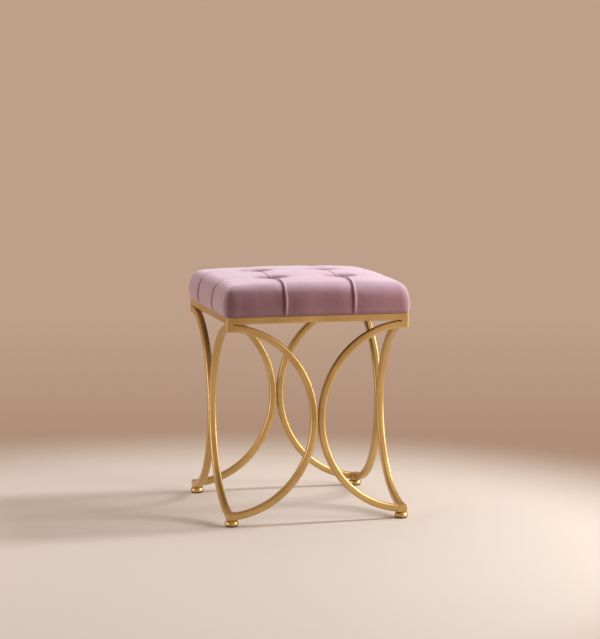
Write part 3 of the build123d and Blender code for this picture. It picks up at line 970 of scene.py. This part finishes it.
# stage, lights and camera
stage = {
    "floor": srgb(222, 209, 198),
    "floorPale": srgb(226, 213, 201),
    "floorMottle": 0.12,
    "floorScale": 3.0,
    "floorRoughness": 0.62,
    "floorSpecular": 0.25,
    "middle": (-0.3, -0.35),
    "reach": 0.74,
    "fade": 0.60,
    "spokes": 96,
    "backdrop": srgb(190, 160, 138),
    # painted shade: the backdrop is darker low down, towards the floor
    "backdropShadedLow": srgb(174, 142, 120),
    "backdropFade": (-0.17, -0.115),  # heights of the heading between which it changes
    "ambient": (1.0, 0.87, 0.76, 1.0),
    "ambientBack": 0.80,
    "ambientFront": 0.06,
    "ambientFade": (-0.7, 0.6),  # headings from front to back between which it changes
    "aim": (0.0, 0.0, 0.25),  # where the lamps point
}
lamps = {
    "key": {"turn": 90, "lift": 37, "away": 4.4, "size": (0.62, 2.6), "power": 160,
            "colour": (0.9, 0.955, 1.0)},
    "fill": {"turn": 60, "lift": 10, "away": 2.0, "size": (0.6, 0.6), "power": 26,
             "colour": (1.0, 0.97, 0.95)},
    "leftFill": {"turn": -88, "lift": 6, "away": 2.2, "size": (0.3, 1.2), "power": 17,
                 "colour": (1.0, 0.93, 0.91)},
}
camera = {
    "place": (-1.0051, -4.0626, 0.8706),
    "yaw": 14.0,
    "pitch": -6.74,
    "lens": 118.8,
    "sensor": 36.0,
    "clip": (0.1, 60.0),
}


def floorFinish():
    # fades out round the edge, and does not show from below
    finish, tree, shader, point = startFinish(
        "paleFloor", Roughness=stage["floorRoughness"], Specular_IOR_Level=stage["floorSpecular"],
    )
    share = spread(tree, mottle(tree, point, stage["floorScale"]), 0.0, stage["floorMottle"])
    wire(tree, shader, Base_Color=blendColour(tree, share, stage["floor"], stage["floorPale"]))
    centred = {0: point, 1: (*stage["middle"], 0.0)}
    away = put(tree, "ShaderNodeVectorMath", centred, operation="DISTANCE").outputs["Value"]
    limits = {"Value": away, "From Min": stage["reach"], "From Max": stage["reach"] + stage["fade"],
              "To Min": 1.0, "To Max": 0.0}
    shown = put(tree, "ShaderNodeMapRange", limits, interpolation_type="SMOOTHSTEP").outputs[0]
    backside = put(tree, "ShaderNodeNewGeometry").outputs["Backfacing"]
    shown = scaled(tree, shown, sums(tree, "SUBTRACT", 1.0, backside))
    clear = put(tree, "ShaderNodeBsdfTransparent")
    mixed = put(tree, "ShaderNodeMixShader", {0: shown, 1: clear.outputs[0], 2: shader.outputs[0]})
    output = next(node for node in tree.nodes if node.type == "OUTPUT_MATERIAL")
    tree.links.new(mixed.outputs[0], output.inputs["Surface"])
    return finish


def makeFloor():
    spokes = stage["spokes"]
    reach = stage["reach"] + stage["fade"]
    x, y = stage["middle"]
    turns = [2 * math.pi * spoke / spokes for spoke in range(spokes)]
    points = [(x, y, 0.0)]
    points += [(x + reach * math.cos(turn), y + reach * math.sin(turn), 0.0) for turn in turns]
    faces = [(0, 1 + spoke, 1 + (spoke + 1) % spokes) for spoke in range(spokes)]
    floor = makePiece("floor", points, faces, floorFinish(), smooth=False)


def lightWorld():
    world = bpy.data.worlds.new("studio")
    scene.world = world
    world.use_nodes = True
    tree = world.node_tree
    tree.nodes.clear()
    path = put(tree, "ShaderNodeLightPath").outputs
    seen = sums(tree, "MAXIMUM", path["Is Camera Ray"], path["Is Glossy Ray"])
    seen = sums(tree, "MAXIMUM", seen, path["Is Transmission Ray"])
    _, toBack, height = splitAxes(tree, put(tree, "ShaderNodeTexCoord").outputs["Generated"])
    strength = spread(tree, toBack, stage["ambientFront"], stage["ambientBack"], *stage["ambientFade"])
    ambient = put(tree, "ShaderNodeBackground", {"Color": stage["ambient"], "Strength": strength})
    share = spread(tree, height, 0.0, 1.0, *stage["backdropFade"])
    backdrop = blendColour(tree, share, stage["backdropShadedLow"], stage["backdrop"])
    wall = put(tree, "ShaderNodeBackground", {"Color": backdrop, "Strength": 1.0})
    mixed = put(tree, "ShaderNodeMixShader", {0: seen, 1: ambient.outputs[0], 2: wall.outputs[0]})
    put(tree, "ShaderNodeOutputWorld", {"Surface": mixed.outputs[0]})


def hangLamp(name, look):
    lamp = bpy.data.lights.new(name, "AREA")
    lamp.shape = "RECTANGLE"
    lamp.size, lamp.size_y = look["size"]
    lamp.energy = look["power"]
    lamp.color = look["colour"]
    turn, lift = math.radians(look["turn"]), math.radians(look["lift"])
    way = Vector((math.sin(turn) * math.cos(lift), -math.cos(turn) * math.cos(lift), math.sin(lift)))
    holder = bpy.data.objects.new(name, lamp)
    holder.location = Vector(stage["aim"]) + way * look["away"]
    holder.rotation_mode = "QUATERNION"
    holder.rotation_quaternion = (-way).to_track_quat("-Z", "Y")
    scene.collection.objects.link(holder)


def setCamera():
    lensData = bpy.data.cameras.new("camera")
    lensData.lens = camera["lens"]
    lensData.sensor_width = camera["sensor"]
    lensData.clip_start, lensData.clip_end = camera["clip"]
    yaw, pitch = math.radians(camera["yaw"]), math.radians(camera["pitch"])
    ahead = Vector((math.sin(yaw) * math.cos(pitch), math.cos(yaw) * math.cos(pitch), math.sin(pitch)))
    holder = bpy.data.objects.new("camera", lensData)
    holder.location = camera["place"]
    holder.rotation_mode = "QUATERNION"
    holder.rotation_quaternion = ahead.to_track_quat("-Z", "Y")
    scene.collection.objects.link(holder)
    scene.camera = holder


makeFloor()
lightWorld()
for name, look in lamps.items():
    hangLamp(name, look)
setCamera()
scene.view_settings.view_transform = "Standard"
print("stage set")
